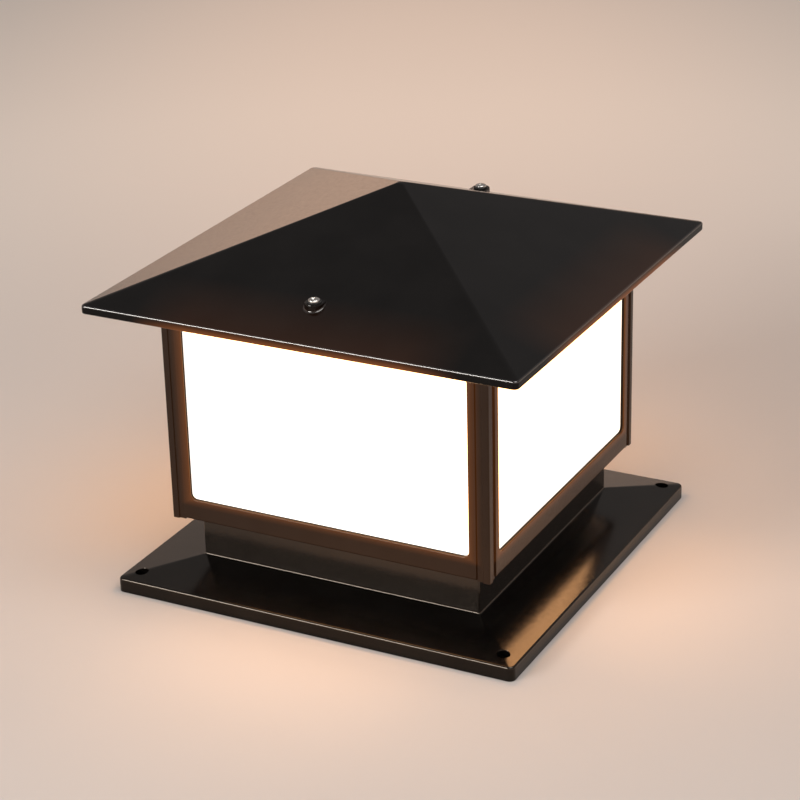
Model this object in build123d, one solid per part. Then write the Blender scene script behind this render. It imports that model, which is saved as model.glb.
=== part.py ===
from build123d import *
import os
from math import radians, sqrt, tan

# Outside proportions, in millimetres
body_width = 229.0
frame_height = 149.6
neck_inset = 14.0
neck_height = 30.5
foot_overhang = 42.3
foot_edge_height = 9.8
foot_rise = 7.1
eave_overhang = 35.5
roof_lip_height = 5.4
roof_rise = 55.1
roof_overlap = 8.1

# Fits
running_clearance = 0.05
slide_clearance = 0.1
seat_clearance = 0.2
hole_clearance = 0.25
cut_overrun = 20.0

# Screws: shank radius, head radius and head height
m3_radius = 1.5
m3_head_radius = 2.75
m3_head_height = 1.8
m4_radius = 2.0
m4_head_radius = 3.8
m4_head_height = 2.2
m5_radius = 2.5
m5_head_radius = 4.6
m5_head_height = 2.8
socket_share = 0.4
socket_depth_share = 0.6
head_round_share = 0.45

# Base casting
base_wall = 3.2
foot_corner_radius = 4.0
foot_edge_radius = 1.6
foot_fillet_radius = 1.4
bolt_hole_radius = 4.25
bolt_inset = 11.6
bolt_boss_radius = 9.0
foot_rib_thickness = 3.0
foot_rib_lift = 2.0
neck_ledge_width = 19.3
neck_screw_inset = 12.5
neck_boss_radius = 6.0
neck_boss_length = 9.0

# Floor of the body and the gasket under it
neck_gasket_thickness = 1.0
neck_gasket_setback = 1.2
floor_thickness = 3.2
floor_screw_length = 15.5

# Corner posts: an extrusion with a corner bead, a groove, a slot for the frame and a fin behind the pane
bead_width = 4.7
bead_corner_radius = 0.8
bead_side_radius = 0.4
groove_depth = 1.0
post_face = 9.2
slot_depth = 1.9
fin_reach = 4.8
fin_thickness = 1.8
core_width = 11.6
port_inset = 8.0
post_drop = 0.9
post_screw_length = 12.0

# Window frames, seals and panes
frame_thickness = 3.5
tongue_thickness = 1.2
window_border = 14.5
window_corner_radius = 4.0
window_bevel = 0.7
frame_ledge_depth = 5.0
frame_ledge_thickness = 2.0
pane_recess = 2.4
pane_overlap = 3.0
pane_thickness = 3.0
pane_corner_radius = 1.5
seal_thickness = 0.4
seal_setback = 0.5

# Top ring and roof gasket
ring_thickness = 6.0
ring_inset = 14.5
ring_margin = 6.5
ring_edge_radius = 1.0
roof_gasket_width = 7.0
roof_gasket_thickness = 1.5

# Roof cap with its skirt and screw lugs
roof_wall = 2.8
roof_corner_radius = 3.0
roof_edge_radius = 2.0
roof_rim_radius = 0.9
roof_apex_radius = 9.0
skirt_thickness = 3.0
lug_outset = 3.0
lug_radius = 6.2
lug_stand = 2.6
lug_edge_radius = 0.8
roof_screw_head_height = 1.6
washer_radius = 4.6
washer_thickness = 0.6

# Lamp holder bracket
bracket_height = 24.0
bracket_thickness = 1.5
bracket_width = 34.0
bracket_span = 50.0
bracket_foot = 16.0
bracket_window_width = 8.0
bracket_window_length = 19.0

# Lamp holder
holder_height = 41.0
holder_foot_radius = 21.0
holder_foot_height = 8.5
holder_radius = 19.5
holder_mouth_radius = 15.6
holder_floor = 12.0
holder_rim_bevel = 3.0
holder_screw_offset = 12.0
holder_screw_depth = 8.0
shell_radius = 14.2
shell_wall = 0.7
shell_setback = 2.0
contact_length = 14.0
contact_width = 6.0
contact_thickness = 2.0
lead_hole_x = 9.0
lead_hole_y = 7.0
lead_hole_depth = 6.0

# Bulb with an Edison cap
bulb_shell_gap = 0.3
thread_pitch = 3.6
thread_depth = 1.0
thread_turns = 5
bulb_cap_wall = 1.2
bulb_cap_height = 23.0
bulb_tip_radius = 4.8
bulb_tip_height = 1.2
bulb_insulator_height = 3.5
bulb_collar_height = 34.5
bulb_collar_band = 5.0
bulb_collar_wall = 2.0
bulb_radius = 30.0
bulb_mouth_share = 0.943
bulb_globe_wall = 1.5
board_setback = 1.3
board_thickness = 1.6
diode_width = 3.0
diode_height = 0.8
diode_ring_share = 0.667
diode_count = 12

# Supply terminals
block_x = 62.0
block_depth = 18.0
block_width = 34.0
block_height = 17.0
pole_pitch = 10.0
wire_hole_radius = 1.7
wire_hole_height = 6.0
clamp_screw_radius = 1.9
clamp_screw_length = 6.5
clamp_screw_spacing = 7.0
clamp_well_floor = 8.4
block_screw_seat = 8.0
block_screw_length = 10.6

# Cable gland
gland_edge_gap = 13.6
gland_y = -40.0
gland_thread_radius = 8.0
gland_hex_radius = 12.4
gland_hex_height = 6.0
gland_neck_radius = 8.6
gland_neck_height = 8.6
gland_bore_radius = 5.4
gland_seal_radius = 6.8
gland_seal_bore_radius = 4.5
gland_tail = 7.0
gland_nut_height = 5.0
gland_cap_height = 12.0
gland_cap_lift = 0.6
gland_cap_roof = 3.9
gland_cap_bevel = 3.0

# Earth point
earth_x = 28.0
earth_y = 44.0
earth_screw_length = 3.8
lug_ring_radius = 4.2
lug_plate_thickness = 0.8
lug_barrel_radius = 2.0
lug_barrel_length = 7.0
lug_barrel_gap = 1.0

# Internal leads
lead_radius = 1.1
lead_insert = 4.0
lead_live_shares = ((0.35, 0.15, 0.0), (0.77, 0.65, 0.2), (1.0, 1.0, 0.64))
lead_earth_shares = ((0.41, 0.0, 0.0), (0.85, 0.23, 0.45), (1.0, 0.66, 1.0))
lead_bend_share = 0.45

# Levels and half widths that follow from the sizes above
body_half = body_width / 2
neck_half = body_half - neck_inset
foot_half = neck_half + foot_overhang
roof_half = body_half + eave_overhang
foot_top = foot_edge_height + foot_rise
neck_top = foot_top + neck_height
floor_bottom = neck_top + neck_gasket_thickness
floor_top = floor_bottom + floor_thickness
frame_top = floor_bottom + frame_height
ring_top = frame_top + ring_thickness
roof_seat = ring_top + roof_gasket_thickness + slide_clearance
lip_bottom = roof_seat - roof_overlap
lip_top = lip_bottom + roof_lip_height
roof_apex = lip_top + roof_rise
roof_pitch = roof_rise / roof_half
screw_line = body_half + lug_outset
ring_half = screw_line + ring_margin
ring_opening = body_half - ring_inset
window_half = body_half - window_border
window_bottom = floor_bottom + window_border
window_top = frame_top - window_border
pane_half = window_half + pane_overlap
pane_back = pane_recess + seal_thickness + pane_thickness
post_inset = body_half - port_inset
floor_screw_line = neck_half - neck_screw_inset
ledge_half = neck_half - base_wall - neck_ledge_width
gland_x = gland_hex_radius + gland_edge_gap - ledge_half
lug_top = lip_top + (roof_half - screw_line) * roof_pitch + lug_stand
thread_crest = shell_radius - shell_wall - bulb_shell_gap
thread_root = thread_crest - thread_depth
bulb_mouth_radius = bulb_radius * bulb_mouth_share


def cuboid(x_span, y_span, z_span):
    size = [span[1] - span[0] for span in (x_span, y_span, z_span)]
    middle = [(span[1] + span[0]) / 2 for span in (x_span, y_span, z_span)]
    return Pos(*middle) * Box(*size)


def centred(half_width, z_span):
    return cuboid((-half_width, half_width), (-half_width, half_width), z_span)


def rod(radius, z_span, x=0, y=0):
    return Pos(x, y, (z_span[0] + z_span[1]) / 2) * Cylinder(radius, z_span[1] - z_span[0])


def rounded_prism(half_width, corner_radius, z_span):
    outline = RectangleRounded(2 * half_width, 2 * half_width, corner_radius)
    return Pos(0, 0, z_span[0]) * extrude(outline, amount=z_span[1] - z_span[0])


def hipped(points, corner_radii):
    """A square solid with the same outline seen from the front and from the side."""
    outline = make_face(FilletPolyline(*points, radius=corner_radii, close=True))
    reach = max(abs(point[0]) for point in points) + cut_overrun
    seen_from_front = extrude(Plane.XZ * outline, amount=reach, both=True)
    seen_from_side = extrude(Plane.YZ * outline, amount=reach, both=True)
    return seen_from_front & seen_from_side


def mirrored_outline(right_half):
    """Points of an outline that is symmetric about the upright axis, from its right half."""
    left_half = [(-x, z) for x, z in reversed(right_half) if x > 0]
    return list(right_half) + left_half


def mirrored_radii(right_half, radii):
    left_half = [radius for (x, z), radius in reversed(list(zip(right_half, radii))) if x > 0]
    return list(radii) + left_half


def turned(points):
    """A solid turned about the upright axis from an outline of radius and height."""
    return revolve(Plane.XZ * make_face(Polyline(*points, close=True)), Axis.Z)


def four_corners(offset):
    return [(x * offset, y * offset) for x in (-1, 1) for y in (-1, 1)]


def pan_screw(radius, length, head_radius, head_height):
    """A screw with its head on the plane z = 0 and its shank below."""
    head = rod(head_radius, (0, head_height))
    head = fillet(head.edges().group_by(Axis.Z)[-1], head_height * head_round_share)
    socket = RegularPolygon(head_radius * socket_share, 6)
    depth = head_height * socket_depth_share
    recess = Pos(0, 0, head_height - depth) * extrude(socket, amount=depth + head_height)
    return head + rod(radius, (-length, 0)) - recess


def flat_screw(radius, length, head_radius):
    """A countersunk screw with the top of its head at z = 0."""
    cone = head_radius - radius
    body = turned([(0, 0), (head_radius, 0), (radius, -cone), (radius, -length), (0, -length)])
    socket = RegularPolygon(head_radius * socket_share, 6)
    depth = cone * socket_depth_share
    return body - Pos(0, 0, -depth) * extrude(socket, amount=depth + cone)


def countersink(radius, head_radius, depth):
    """The cut for a countersunk screw whose head ends flush at z = 0."""
    hole = radius + hole_clearance
    mouth = head_radius + hole_clearance
    cone = mouth - hole
    points = [(0, 0), (mouth, 0), (hole, -cone), (hole, -depth), (0, -depth)]
    return turned(points)


def hexagon(radius, z_span, x=0, y=0):
    outline = RegularPolygon(radius, 6)
    return Pos(x, y, z_span[0]) * extrude(outline, amount=z_span[1] - z_span[0])


def base_casting():
    """Hipped foot and square neck in one casting, open underneath."""
    right = [(foot_half, 0), (foot_half, foot_edge_height), (neck_half, foot_top), (neck_half, neck_top)]
    radii = [0, foot_edge_radius, foot_fillet_radius, 0]
    casting = hipped(mirrored_outline(right), mirrored_radii(right, radii))
    casting &= rounded_prism(foot_half, foot_corner_radius, (0, neck_top))
    outer = casting
    foot_slope = foot_rise / foot_overhang
    drop = base_wall * sqrt(1 + foot_slope**2)
    cavity_half = foot_half - base_wall
    cavity_edge = foot_edge_height + base_wall * foot_slope - drop
    neck_cavity = neck_half - base_wall
    cavity_top = foot_top + base_wall * foot_slope - drop
    cavity_right = [(cavity_half, -cut_overrun), (cavity_half, cavity_edge), (neck_cavity, cavity_top)]
    cavity_right.append((neck_cavity, neck_top - base_wall))
    cavity_points = mirrored_outline(cavity_right)
    casting -= hipped(cavity_points, [0] * len(cavity_points))
    casting -= centred(ledge_half, (neck_top - 2 * base_wall, neck_top + cut_overrun))
    casting += foot_bosses_and_ribs(neck_cavity) & outer
    for x, y in four_corners(floor_screw_line):
        casting += rod(neck_boss_radius, (neck_top - base_wall - neck_boss_length, neck_top), x, y)
        casting -= rod(m5_radius + running_clearance, (foot_top, neck_top + cut_overrun), x, y)
    for x, y in four_corners(foot_half - bolt_inset):
        casting -= rod(bolt_hole_radius, (-cut_overrun, foot_top + cut_overrun), x, y)
    return casting


def foot_bosses_and_ribs(neck_cavity):
    """Bolt bosses and stiffening ribs under the foot, left long for trimming to the casting."""
    hole_line = foot_half - bolt_inset
    parts = [rod(bolt_boss_radius, (0, foot_top), x, y) for x, y in four_corners(hole_line)]
    inner = neck_cavity + base_wall / 2
    rib_z = (foot_rib_lift, foot_top)
    half_rib = foot_rib_thickness / 2
    for quarter in range(4):
        straight = cuboid((inner, foot_half), (-half_rib, half_rib), rib_z)
        diagonal = cuboid((inner * sqrt(2), hole_line * sqrt(2)), (-half_rib, half_rib), rib_z)
        parts.append(Rot(0, 0, 90 * quarter) * straight)
        parts.append(Rot(0, 0, 90 * quarter + 45) * diagonal)
    return Part() + parts


def neck_gasket():
    outer = neck_half - neck_gasket_setback
    gasket = centred(outer, (neck_top, floor_bottom)) - centred(ledge_half, (0, floor_top))
    for x, y in four_corners(floor_screw_line):
        gasket -= rod(m5_radius + hole_clearance, (0, floor_top), x, y)
    return gasket


def floor_plate():
    """Floor of the body, inside the frames and the post skins."""
    plate_half = body_half - frame_thickness - seat_clearance
    plate = centred(plate_half, (floor_bottom, floor_top))
    through = (floor_bottom - cut_overrun, floor_top + cut_overrun)
    for x, y in four_corners(floor_screw_line):
        plate -= rod(m5_radius + hole_clearance, through, x, y)
    cut = Rot(180, 0, 0) * countersink(m3_radius, m3_head_radius, floor_thickness + cut_overrun)
    for x, y in four_corners(post_inset):
        plate -= Pos(x, y, floor_bottom) * cut
    for y in bracket_screw_places():
        plate -= rod(m4_radius + running_clearance, through, 0, y)
    for y in block_screw_places():
        plate -= rod(m3_radius + running_clearance, through, block_x, y)
    plate -= rod(m4_radius + running_clearance, through, earth_x, earth_y)
    plate -= rod(gland_thread_radius + hole_clearance, through, gland_x, gland_y)
    return plate


def floor_screws():
    screw = pan_screw(m5_radius, floor_screw_length, m5_head_radius, m5_head_height)
    return [Pos(x, y, floor_top) * screw for x, y in four_corners(floor_screw_line)]


def corner_post():
    """The post between the front and the right side."""
    slot_front = frame_thickness - tongue_thickness - slide_clearance
    slot_back = frame_thickness + slide_clearance
    slot_bottom = post_face - slot_depth
    fin_front = pane_back + seat_clearance
    fin_back = fin_front + fin_thickness
    fin_end = post_face + fin_reach
    arm = [(bead_width, 0), (bead_width, groove_depth), (post_face, groove_depth)]
    arm += [(post_face, slot_front), (slot_bottom, slot_front), (slot_bottom, slot_back)]
    arm += [(post_face, slot_back), (post_face, fin_front), (fin_end, fin_front)]
    arm += [(fin_end, fin_back), (core_width, fin_back)]
    outline = [(0, 0)] + arm + [(core_width, core_width)] + [(v, u) for u, v in reversed(arm)]
    radii = [0] * len(outline)
    radii[0] = bead_corner_radius
    radii[1] = radii[-1] = bead_side_radius
    points = [(body_half - u, v - body_half) for u, v in outline]
    face = make_face(FilletPolyline(*points, radius=radii, close=True))
    low = floor_bottom - post_drop
    post = Pos(0, 0, low) * extrude(face, amount=frame_top - low)
    core_cut = body_half - frame_thickness
    inside = (core_cut - fin_end, core_cut)
    post -= cuboid(inside, (-inside[1], -inside[0]), (low - cut_overrun, floor_top))
    port = m3_radius + running_clearance
    post -= rod(port, (low - cut_overrun, frame_top + cut_overrun), post_inset, -post_inset)
    return post


def lower_post_screws():
    screw = Rot(180, 0, 0) * flat_screw(m3_radius, post_screw_length, m3_head_radius)
    return [Pos(x, y, floor_bottom) * screw for x, y in four_corners(post_inset)]


def upper_post_screws():
    screw = flat_screw(m3_radius, post_screw_length, m3_head_radius)
    return [Pos(x, y, ring_top) * screw for x, y in four_corners(post_inset)]


def window_prism(half_width, low, high, corner_radius, depth_span):
    """A rounded rectangle standing in the front wall, between two depths behind its face."""
    outline = RectangleRounded(2 * half_width, high - low, corner_radius)
    plane = Plane.XZ.offset(body_half - depth_span[1])
    middle = Pos(0, 0, (low + high) / 2)
    return middle * extrude(plane * outline, amount=depth_span[1] - depth_span[0])


def front_window_frame():
    """The front frame: a border round the window, side tongues and a ledge on the floor plate."""
    outer_half = body_half - post_face - slide_clearance
    tongue_half = body_half - post_face + slot_depth - seat_clearance
    ledge_half = body_half - post_face - fin_reach - seat_clearance
    face = -body_half
    back = face + frame_thickness
    height = (floor_bottom, frame_top)
    frame = cuboid((-outer_half, outer_half), (face, back), height)
    frame += cuboid((-tongue_half, tongue_half), (back - tongue_thickness, back), height)
    ledge_z = (floor_top, floor_top + frame_ledge_thickness)
    frame += cuboid((-ledge_half, ledge_half), (back, back + frame_ledge_depth), ledge_z)
    through = (-cut_overrun, frame_thickness + cut_overrun)
    frame -= window_prism(window_half, window_bottom, window_top, window_corner_radius, through)
    rebate_half = pane_half + seat_clearance
    rebate_z = (window_bottom - pane_overlap - seat_clearance, window_top + pane_overlap + seat_clearance)
    frame -= cuboid((-rebate_half, rebate_half), (face + pane_recess, back + cut_overrun), rebate_z)
    front_face = frame.faces().sort_by(Axis.Y)[0]
    return chamfer(front_face.inner_wires()[0].edges(), window_bevel)


def front_seal():
    low = window_bottom - pane_overlap
    high = window_top + pane_overlap
    depth = (pane_recess, pane_recess + seal_thickness)
    seal = window_prism(pane_half, low, high, pane_corner_radius, depth)
    hole_half = window_half + seal_setback
    hole_low = window_bottom - seal_setback
    hole_high = window_top + seal_setback
    through = (-cut_overrun, frame_thickness + cut_overrun)
    return seal - window_prism(hole_half, hole_low, hole_high, window_corner_radius, through)


def front_pane():
    low = window_bottom - pane_overlap
    high = window_top + pane_overlap
    return window_prism(pane_half, low, high, pane_corner_radius, (pane_back - pane_thickness, pane_back))


def top_ring():
    """Frame that closes the body above and takes the two roof screws."""
    ring = centred(ring_half, (frame_top, ring_top))
    ring = fillet(ring.edges().filter_by(Axis.Z), ring_edge_radius)
    ring -= centred(ring_opening, (frame_top - cut_overrun, ring_top + cut_overrun))
    cut = countersink(m3_radius, m3_head_radius, ring_thickness + cut_overrun)
    for x, y in four_corners(post_inset):
        ring -= Pos(x, y, ring_top) * cut
    for y in (-screw_line, screw_line):
        tapped = m4_radius + running_clearance
        ring -= rod(tapped, (frame_top - cut_overrun, ring_top + cut_overrun), 0, y)
    return ring


def roof_gasket():
    outer = screw_line + roof_gasket_width / 2
    height = (ring_top, ring_top + roof_gasket_thickness)
    gasket = centred(outer, height) - centred(outer - roof_gasket_width, (frame_top, roof_seat + ring_top))
    for y in (-screw_line, screw_line):
        gasket -= rod(m4_radius + hole_clearance, (frame_top, roof_seat + cut_overrun), 0, y)
    return gasket


def screw_lug():
    """The front lug: round in front, flat on top, running back into the slope of the roof."""
    length = lug_stand / roof_pitch
    height = (roof_seat, lug_top)
    front = (-screw_line - 2 * lug_radius, -screw_line)
    nose = rod(lug_radius, height, 0, -screw_line) & cuboid((-2 * lug_radius, 2 * lug_radius), front, height)
    lug = nose + cuboid((-lug_radius, lug_radius), (-screw_line, length - screw_line), height)
    front_rim = lug.edges().group_by(Axis.Z)[-1].filter_by(GeomType.CIRCLE)
    return fillet(front_rim, lug_edge_radius)


def roof_cap():
    """Hipped roof with a short upright lip, a skirt that stands on the gasket and two screw lugs."""
    right = [(roof_half, lip_bottom), (roof_half, lip_top), (0, roof_apex)]
    outline = mirrored_outline(right)
    radii = mirrored_radii(right, [0, roof_edge_radius, roof_apex_radius])
    outer = hipped(outline, radii)
    outer &= rounded_prism(roof_half, roof_corner_radius, (lip_bottom, roof_apex))
    outer = fillet(outer.edges().group_by(Axis.Z)[0], roof_rim_radius)
    drop = roof_wall * sqrt(1 + roof_pitch**2)
    cavity_half = roof_half - roof_wall
    cavity_top = lip_top + roof_wall * roof_pitch - drop
    cavity_right = [(cavity_half, lip_bottom - cut_overrun), (cavity_half, cavity_top), (0, roof_apex - drop)]
    cavity = hipped(mirrored_outline(cavity_right), [0] * (2 * len(cavity_right) - 1))
    cavity &= rounded_prism(cavity_half, roof_corner_radius, (lip_bottom - cut_overrun, roof_apex))
    skirt_outer = screw_line + skirt_thickness / 2
    skirt = centred(skirt_outer, (roof_seat, roof_apex))
    skirt -= centred(skirt_outer - skirt_thickness, (lip_bottom, roof_apex + cut_overrun))
    roof = (outer - cavity) + (skirt & outer)
    roof += screw_lug() + Rot(0, 0, 180) * screw_lug()
    for y in (-screw_line, screw_line):
        roof -= rod(m4_radius + hole_clearance, (lip_bottom, roof_apex), 0, y)
    return roof


def roof_screw():
    length = lug_top + washer_thickness - frame_top - slide_clearance
    screw = pan_screw(m4_radius, length, m4_head_radius, roof_screw_head_height)
    return Pos(0, -screw_line, lug_top + washer_thickness) * screw


def roof_washer():
    washer = rod(washer_radius, (lug_top, lug_top + washer_thickness), 0, -screw_line)
    return washer - rod(m4_radius + hole_clearance, (frame_top, roof_apex), 0, -screw_line)


def bracket_screw_places():
    reach = (bracket_span + bracket_foot) / 2
    return (-reach, reach)


def holder_bracket():
    """Bent strip with a raised platform for the lamp holder."""
    half_width = bracket_width / 2
    half_span = bracket_span / 2
    platform_top = floor_top + bracket_height
    across = (-half_width, half_width)
    bracket = cuboid(across, (-half_span, half_span), (platform_top - bracket_thickness, platform_top))
    for side in (-1, 1):
        leg = sorted((side * half_span, side * (half_span - bracket_thickness)))
        bracket += cuboid(across, leg, (floor_top, platform_top))
        foot = sorted((side * half_span, side * (half_span + bracket_foot)))
        bracket += cuboid(across, foot, (floor_top, floor_top + bracket_thickness))
    through = (floor_bottom, platform_top + cut_overrun)
    for y in bracket_screw_places():
        bracket -= rod(m4_radius + hole_clearance, through, 0, y)
    for y in (-holder_screw_offset, holder_screw_offset):
        bracket -= rod(m4_radius + hole_clearance, through, 0, y)
    window_x = (lead_hole_x - bracket_window_width / 2, lead_hole_x + bracket_window_width / 2)
    window_y = (-bracket_window_length / 2, bracket_window_length / 2)
    return bracket - cuboid(window_x, window_y, (floor_top + bracket_thickness, platform_top + cut_overrun))


def bracket_screws():
    length = floor_thickness + bracket_thickness - slide_clearance
    screw = pan_screw(m4_radius, length, m4_head_radius, m4_head_height)
    seat = floor_top + bracket_thickness
    return [Pos(0, y, seat) * screw for y in bracket_screw_places()]


def holder_screws():
    length = bracket_thickness + holder_screw_depth - seat_clearance
    screw = Rot(180, 0, 0) * pan_screw(m4_radius, length, m4_head_radius, m4_head_height)
    seat = floor_top + bracket_height - bracket_thickness
    return [Pos(0, y, seat) * screw for y in (-holder_screw_offset, holder_screw_offset)]


def holder_base():
    return floor_top + bracket_height


def holder_rim():
    return holder_base() + holder_height


def lamp_holder():
    """Ceramic holder body with a deep bore for the threaded shell."""
    base = holder_base()
    rim = holder_rim()
    bore = shell_radius + slide_clearance
    points = [(0, base), (holder_foot_radius, base), (holder_foot_radius, base + holder_foot_height)]
    points.append((holder_radius, base + holder_foot_height + holder_rim_bevel))
    points.append((holder_radius, rim - holder_rim_bevel))
    points.append((holder_radius - holder_rim_bevel / 2, rim))
    points.append((holder_mouth_radius, rim))
    points.append((bore, rim - shell_setback))
    points.append((bore, base + holder_floor))
    points.append((0, base + holder_floor))
    holder = turned(points)
    for y in (-holder_screw_offset, holder_screw_offset):
        holder -= rod(m4_radius + running_clearance, (base - cut_overrun, base + holder_screw_depth), 0, y)
    for y in (-lead_hole_y, lead_hole_y):
        lead_hole = lead_radius + hole_clearance
        holder -= rod(lead_hole, (base - cut_overrun, base + lead_hole_depth), lead_hole_x, y)
    return holder


def holder_shell():
    bottom = holder_base() + holder_floor
    height = (bottom, holder_rim() - shell_setback)
    return rod(shell_radius, height) - rod(shell_radius - shell_wall, (bottom - cut_overrun, holder_rim()))


def holder_contact():
    """Spring tongue on the floor of the bore, bent up under the bulb's tip."""
    bottom = holder_base() + holder_floor
    half_length = contact_length / 2
    half_width = contact_width / 2
    step = contact_thickness / 2
    strip = cuboid((-half_length, half_length), (-half_width, half_width), (bottom, bottom + step))
    return strip + rod(half_width, (bottom, bottom + contact_thickness))


def bulb_tip_level():
    return holder_base() + holder_floor + contact_thickness + seat_clearance


def bulb_cap_level():
    return bulb_tip_level() + bulb_tip_height + bulb_insulator_height


def bulb_tip():
    low = bulb_tip_level()
    tip = rod(bulb_tip_radius, (low, low + bulb_tip_height))
    return fillet(tip.edges().group_by(Axis.Z)[0], bulb_tip_height / 2)


def bulb_insulator():
    low = bulb_tip_level() + bulb_tip_height
    high = bulb_cap_level()
    return turned([(0, low), (bulb_tip_radius, low), (thread_root, high), (0, high)])


def bulb_cap():
    """Threaded cap, its thread drawn as rings."""
    low = bulb_cap_level()
    high = low + bulb_cap_height
    inner = thread_root - bulb_cap_wall
    points = [(inner, low), (thread_root, low)]
    first = low + thread_pitch / 2
    for turn in range(thread_turns):
        points.append((thread_root, first + turn * thread_pitch))
        points.append((thread_crest, first + (turn + 1 / 3) * thread_pitch))
        points.append((thread_crest, first + (turn + 2 / 3) * thread_pitch))
    points.append((thread_root, first + thread_turns * thread_pitch))
    points.append((thread_crest, high - thread_depth))
    points.append((thread_crest, high))
    points.append((inner, high))
    return turned(points)


def bulb_collar():
    """Plastic housing between the cap and the globe, open downwards into the cap."""
    low = bulb_cap_level() + bulb_cap_height
    high = low + bulb_collar_height
    band = high - bulb_collar_band
    outer = [(thread_crest, low), (thread_crest, low + bulb_collar_band)]
    outer += [(bulb_mouth_radius, band), (bulb_mouth_radius, high), (0, high)]
    inner_high = high - bulb_collar_wall
    inner = [(0, inner_high), (bulb_mouth_radius - bulb_collar_wall, inner_high)]
    inner += [(bulb_mouth_radius - bulb_collar_wall, band)]
    inner += [(thread_crest - bulb_collar_wall, low + bulb_collar_band), (thread_crest - bulb_collar_wall, low)]
    return turned(outer + inner)


def globe_level():
    return bulb_cap_level() + bulb_cap_height + bulb_collar_height


def globe_ball(radius, centre):
    ball = Pos(0, 0, centre) * Sphere(radius)
    return ball & rod(radius + cut_overrun, (globe_level(), centre + radius + cut_overrun))


def bulb_globe():
    """Opal dome, a part of a ball that stands on the collar."""
    centre = globe_level() + sqrt(bulb_radius**2 - bulb_mouth_radius**2)
    return globe_ball(bulb_radius, centre) - globe_ball(bulb_radius - bulb_globe_wall, centre)


def bulb_board():
    """Round aluminium board with a ring of diodes, on the collar inside the globe."""
    top = globe_level() + board_thickness
    board_radius = bulb_mouth_radius - bulb_globe_wall - board_setback
    board = rod(board_radius, (globe_level(), top))
    half_diode = diode_width / 2
    diode_x = board_radius * diode_ring_share
    diode_y = (-half_diode, half_diode)
    diode = cuboid((diode_x - half_diode, diode_x + half_diode), diode_y, (top, top + diode_height))
    for place in range(diode_count):
        board += Rot(0, 0, 360 * place / diode_count) * diode
    return board


def pole_places():
    return (-pole_pitch, 0, pole_pitch)


def block_screw_places():
    return (-pole_pitch / 2, pole_pitch / 2)


def terminal_block():
    """Three-pole block with a wire hole and two screw wells for each pole."""
    x_span = (block_x - block_depth / 2, block_x + block_depth / 2)
    top = floor_top + block_height
    block = cuboid(x_span, (-block_width / 2, block_width / 2), (floor_top, top))
    tunnel = Rot(0, 90, 0) * Cylinder(wire_hole_radius, block_depth + cut_overrun)
    for y in pole_places():
        block -= Pos(block_x, y, floor_top + wire_hole_height) * tunnel
        for x in clamp_screw_places():
            well = clamp_screw_radius + slide_clearance
            block -= rod(well, (floor_top + clamp_well_floor, top + cut_overrun), x, y)
    for y in block_screw_places():
        block -= rod(m3_radius + hole_clearance, (floor_bottom, top + cut_overrun), block_x, y)
        head_well = m3_head_radius + hole_clearance
        block -= rod(head_well, (floor_top + block_screw_seat, top + cut_overrun), block_x, y)
    return block


def clamp_screw_places():
    return (block_x - clamp_screw_spacing / 2, block_x + clamp_screw_spacing / 2)


def terminal_screws():
    low = floor_top + clamp_well_floor
    screw = rod(clamp_screw_radius, (low, low + clamp_screw_length))
    slot_half = clamp_screw_radius / 4
    slot_z = (low + clamp_screw_length - clamp_screw_radius / 2, low + clamp_screw_length + cut_overrun)
    reach = clamp_screw_radius + slide_clearance
    screw -= cuboid((-reach, reach), (-slot_half, slot_half), slot_z)
    return [Pos(x, y, 0) * screw for x in clamp_screw_places() for y in pole_places()]


def block_screws():
    screw = pan_screw(m3_radius, block_screw_length, m3_head_radius, m3_head_height)
    seat = floor_top + block_screw_seat
    return [Pos(block_x, y, seat) * screw for y in block_screw_places()]


def cable_gland():
    """Gland body: a hexagon on the floor, a threaded tail below it and a threaded neck above it."""
    hex_top = floor_top + gland_hex_height
    neck_end = hex_top + gland_neck_height
    tail_end = floor_bottom - gland_tail
    gland = hexagon(gland_hex_radius, (floor_top, hex_top), gland_x, gland_y)
    gland += rod(gland_thread_radius, (tail_end, floor_top), gland_x, gland_y)
    gland += rod(gland_neck_radius, (hex_top, neck_end), gland_x, gland_y)
    gland -= rod(gland_bore_radius, (tail_end - cut_overrun, neck_end + cut_overrun), gland_x, gland_y)
    seat = gland_seal_radius + slide_clearance
    return gland - rod(seat, (hex_top, neck_end + cut_overrun), gland_x, gland_y)


def gland_seal():
    hex_top = floor_top + gland_hex_height
    height = (hex_top, hex_top + gland_neck_height)
    seal = rod(gland_seal_radius, height, gland_x, gland_y)
    return seal - rod(gland_seal_bore_radius, (floor_top, height[1] + cut_overrun), gland_x, gland_y)


def gland_cap():
    """Cap nut over the gland's neck, with a bevelled top."""
    low = floor_top + gland_hex_height + gland_cap_lift
    high = low + gland_cap_height
    cap = hexagon(gland_hex_radius, (low, high), gland_x, gland_y)
    inner_flat = gland_hex_radius * sqrt(3) / 2
    cone = [(0, low), (gland_hex_radius, low), (gland_hex_radius, high - gland_cap_bevel)]
    cone += [(inner_flat - gland_cap_bevel / 2, high), (0, high)]
    cap &= Pos(gland_x, gland_y, 0) * turned(cone)
    thread = gland_neck_radius + slide_clearance
    cap -= rod(thread, (low - cut_overrun, high - gland_cap_roof), gland_x, gland_y)
    return cap - rod(gland_seal_bore_radius + hole_clearance, (low, high + cut_overrun), gland_x, gland_y)


def gland_nut():
    nut = hexagon(gland_hex_radius, (floor_bottom - gland_nut_height, floor_bottom), gland_x, gland_y)
    thread = gland_thread_radius + running_clearance
    return nut - rod(thread, (foot_top, floor_top), gland_x, gland_y)


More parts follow.
